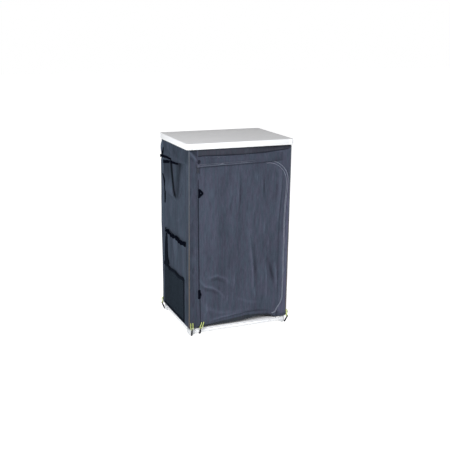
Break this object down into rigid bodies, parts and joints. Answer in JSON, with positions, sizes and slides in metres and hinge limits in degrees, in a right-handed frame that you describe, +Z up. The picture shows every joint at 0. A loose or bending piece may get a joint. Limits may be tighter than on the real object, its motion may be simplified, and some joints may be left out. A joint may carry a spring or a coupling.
{
  "type": "folding camping shelf unit",
  "caption": "Folding camping cupboard with a table top, shelf boards in fabric slings, side pockets and a zipped fabric door on a collapsible tube frame.",
  "frame": {"origin": "on the ground under the middle of the unit", "axes": "+X to the right seen from the front, +Y towards the back, +Z up"},
  "size_m": [0.6, 0.45, 1.03],
  "materials": {
    "table_panel": "satin pale grey laminate",
    "table_edge": "satin",
    "table_cap": "matte",
    "corner_plastic": "matte",
    "frame_tube": "satin",
    "shelf_board": "satin laminate",
    "cover_front": "coated canvas weave",
    "cover_side": "coated canvas weave",
    "pocket_mesh": "fine mesh",
    "dark_trim": "matte",
    "elastic": "woven cord"
  },
  "bodies": {
    "base": {"base_rail_front": "frame_tube", "base_rail_rear": "frame_tube", "base_rail_left": "frame_tube", "base_rail_right": "frame_tube", "base_corner_front_left": "corner_plastic", "base_corner_front_right": "corner_plastic", "base_corner_rear_left": "corner_plastic", "base_corner_rear_right": "corner_plastic", "base_board": "shelf_board", "cover_front": "cover_front", "cover_left": "cover_side", "cover_right": "cover_side", "cover_back": "cover_front", "storm_flap": "cover_front", "pocket_upper": "cover_side", "pocket_middle": "cover_side", "pocket_mesh": "pocket_mesh", "hook_front_left": "dark_trim", "hook_front_right": "dark_trim", "hook_rear_left": "dark_trim", "hook_rear_right": "dark_trim", "hook_front_door": "dark_trim", "elastic_front_left": "elastic", "elastic_front_right": "elastic", "elastic_rear_left": "elastic", "elastic_rear_right": "elastic", "elastic_front_door": "elastic"},
    "lower_front_left": {"leg_lower_front_left": "frame_tube"},
    "lower_front_right": {"leg_lower_front_right": "frame_tube"},
    "lower_rear_left": {"leg_lower_rear_left": "frame_tube"},
    "lower_rear_right": {"leg_lower_rear_right": "frame_tube"},
    "upper_front_left": {"leg_upper_front_left": "frame_tube"},
    "upper_front_right": {"leg_upper_front_right": "frame_tube"},
    "upper_rear_left": {"leg_upper_rear_left": "frame_tube"},
    "upper_rear_right": {"leg_upper_rear_right": "frame_tube"},
    "top": {"top_rail_front": "frame_tube", "top_rail_rear": "frame_tube", "top_rail_left": "frame_tube", "top_rail_right": "frame_tube", "top_corner_front_left": "corner_plastic", "top_corner_front_right": "corner_plastic", "top_corner_rear_left": "corner_plastic", "top_corner_rear_right": "corner_plastic", "table_panel": "table_panel", "table_edge_front": "table_edge", "table_edge_rear": "table_edge", "table_edge_left": "table_edge", "table_edge_right": "table_edge", "table_cap_front_left": "table_cap", "table_cap_front_right": "table_cap", "table_cap_rear_left": "table_cap", "table_cap_rear_right": "table_cap"},
    "shelf_lower": {"shelf_sling_lower": "cover_side", "shelf_board_lower": "shelf_board"},
    "shelf_upper": {"shelf_sling_upper": "cover_side", "shelf_board_upper": "shelf_board"},
    "door": {"door": "cover_front"},
    "zip": {"zip_top": "dark_trim"},
    "slider": {"zip_slider": "dark_trim"},
    "pull": {"zip_pull": "dark_trim"}
  },
  "joints": [
    {"name": "frame_fold", "type": "hinge", "parent": "base", "child": "lower_front_left", "pos_m": [-0.264, -0.203, 0.0462], "axis": [0, 1, 0], "range_deg": [0, 90], "deforming": ["cover_front", "cover_left", "cover_right", "cover_back", "door", "storm_flap", "pocket_upper", "pocket_middle", "pocket_mesh"]},
    {"name": "leg_foot_front_right", "type": "hinge", "parent": "base", "child": "lower_front_right", "pos_m": [0.264, -0.1845, 0.0462], "axis": [0, -1, 0], "range_deg": [0, 90]},
    {"name": "leg_foot_rear_left", "type": "hinge", "parent": "base", "child": "lower_rear_left", "pos_m": [-0.264, 0.203, 0.0462], "axis": [0, 1, 0], "range_deg": [0, 90]},
    {"name": "leg_foot_rear_right", "type": "hinge", "parent": "base", "child": "lower_rear_right", "pos_m": [0.264, 0.1845, 0.0462], "axis": [0, -1, 0], "range_deg": [0, 90]},
    {"name": "knuckle_front_left", "type": "hinge", "parent": "lower_front_left", "child": "upper_front_left", "pos_m": [-0.274, -0.203, 0.5052], "axis": [0, -1, 0], "range_deg": [0, 180]},
    {"name": "knuckle_front_right", "type": "hinge", "parent": "lower_front_right", "child": "upper_front_right", "pos_m": [0.274, -0.1845, 0.5052], "axis": [0, 1, 0], "range_deg": [0, 180]},
    {"name": "knuckle_rear_left", "type": "hinge", "parent": "lower_rear_left", "child": "upper_rear_left", "pos_m": [-0.274, 0.203, 0.5052], "axis": [0, -1, 0], "range_deg": [0, 180]},
    {"name": "knuckle_rear_right", "type": "hinge", "parent": "lower_rear_right", "child": "upper_rear_right", "pos_m": [0.274, 0.1845, 0.5052], "axis": [0, 1, 0], "range_deg": [0, 180]},
    {"name": "top_pivot", "type": "hinge", "parent": "upper_front_left", "child": "top", "pos_m": [-0.264, -0.203, 0.9642], "axis": [0, 1, 0], "range_deg": [0, 90]},
    {"name": "shelf_lower_drop", "type": "slide", "parent": "base", "child": "shelf_lower", "axis": [0, 0, -1], "range_m": [0, 0.313]},
    {"name": "shelf_upper_drop", "type": "slide", "parent": "base", "child": "shelf_upper", "axis": [0, 0, -1], "range_m": [0, 0.612]},
    {"name": "zip_drop", "type": "slide", "parent": "base", "child": "zip", "axis": [0, 0, -1], "range_m": [0, 0.824]},
    {"name": "door_hinge", "type": "hinge", "parent": "base", "child": "door", "pos_m": [-0.238, -0.218, 0.49], "axis": [0, 0, -1], "range_deg": [0, 165]},
    {"name": "zip_slide", "type": "slide", "parent": "zip", "child": "slider", "axis": [1, 0, 0], "range_m": [0, 0.386]},
    {"name": "pull_hinge", "type": "hinge", "parent": "slider", "child": "pull", "pos_m": [-0.24, -0.2226, 0.9063], "axis": [-1, 0, 0], "range_deg": [0, 150]}
  ],
  "couplings": [
    {"joint": "leg_foot_front_right", "follows": "frame_fold", "ratio": 1},
    {"joint": "leg_foot_rear_left", "follows": "frame_fold", "ratio": 1},
    {"joint": "leg_foot_rear_right", "follows": "frame_fold", "ratio": 1},
    {"joint": "knuckle_front_left", "follows": "frame_fold", "ratio": 2},
    {"joint": "knuckle_front_right", "follows": "frame_fold", "ratio": 2},
    {"joint": "knuckle_rear_left", "follows": "frame_fold", "ratio": 2},
    {"joint": "knuckle_rear_right", "follows": "frame_fold", "ratio": 2},
    {"joint": "top_pivot", "follows": "frame_fold", "ratio": 1},
    {"joint": "shelf_lower_drop", "follows": "frame_fold", "m_per_rad": 0.19879},
    {"joint": "shelf_upper_drop", "follows": "frame_fold", "m_per_rad": 0.38926},
    {"joint": "zip_drop", "follows": "frame_fold", "m_per_rad": 0.52433}
  ]
}
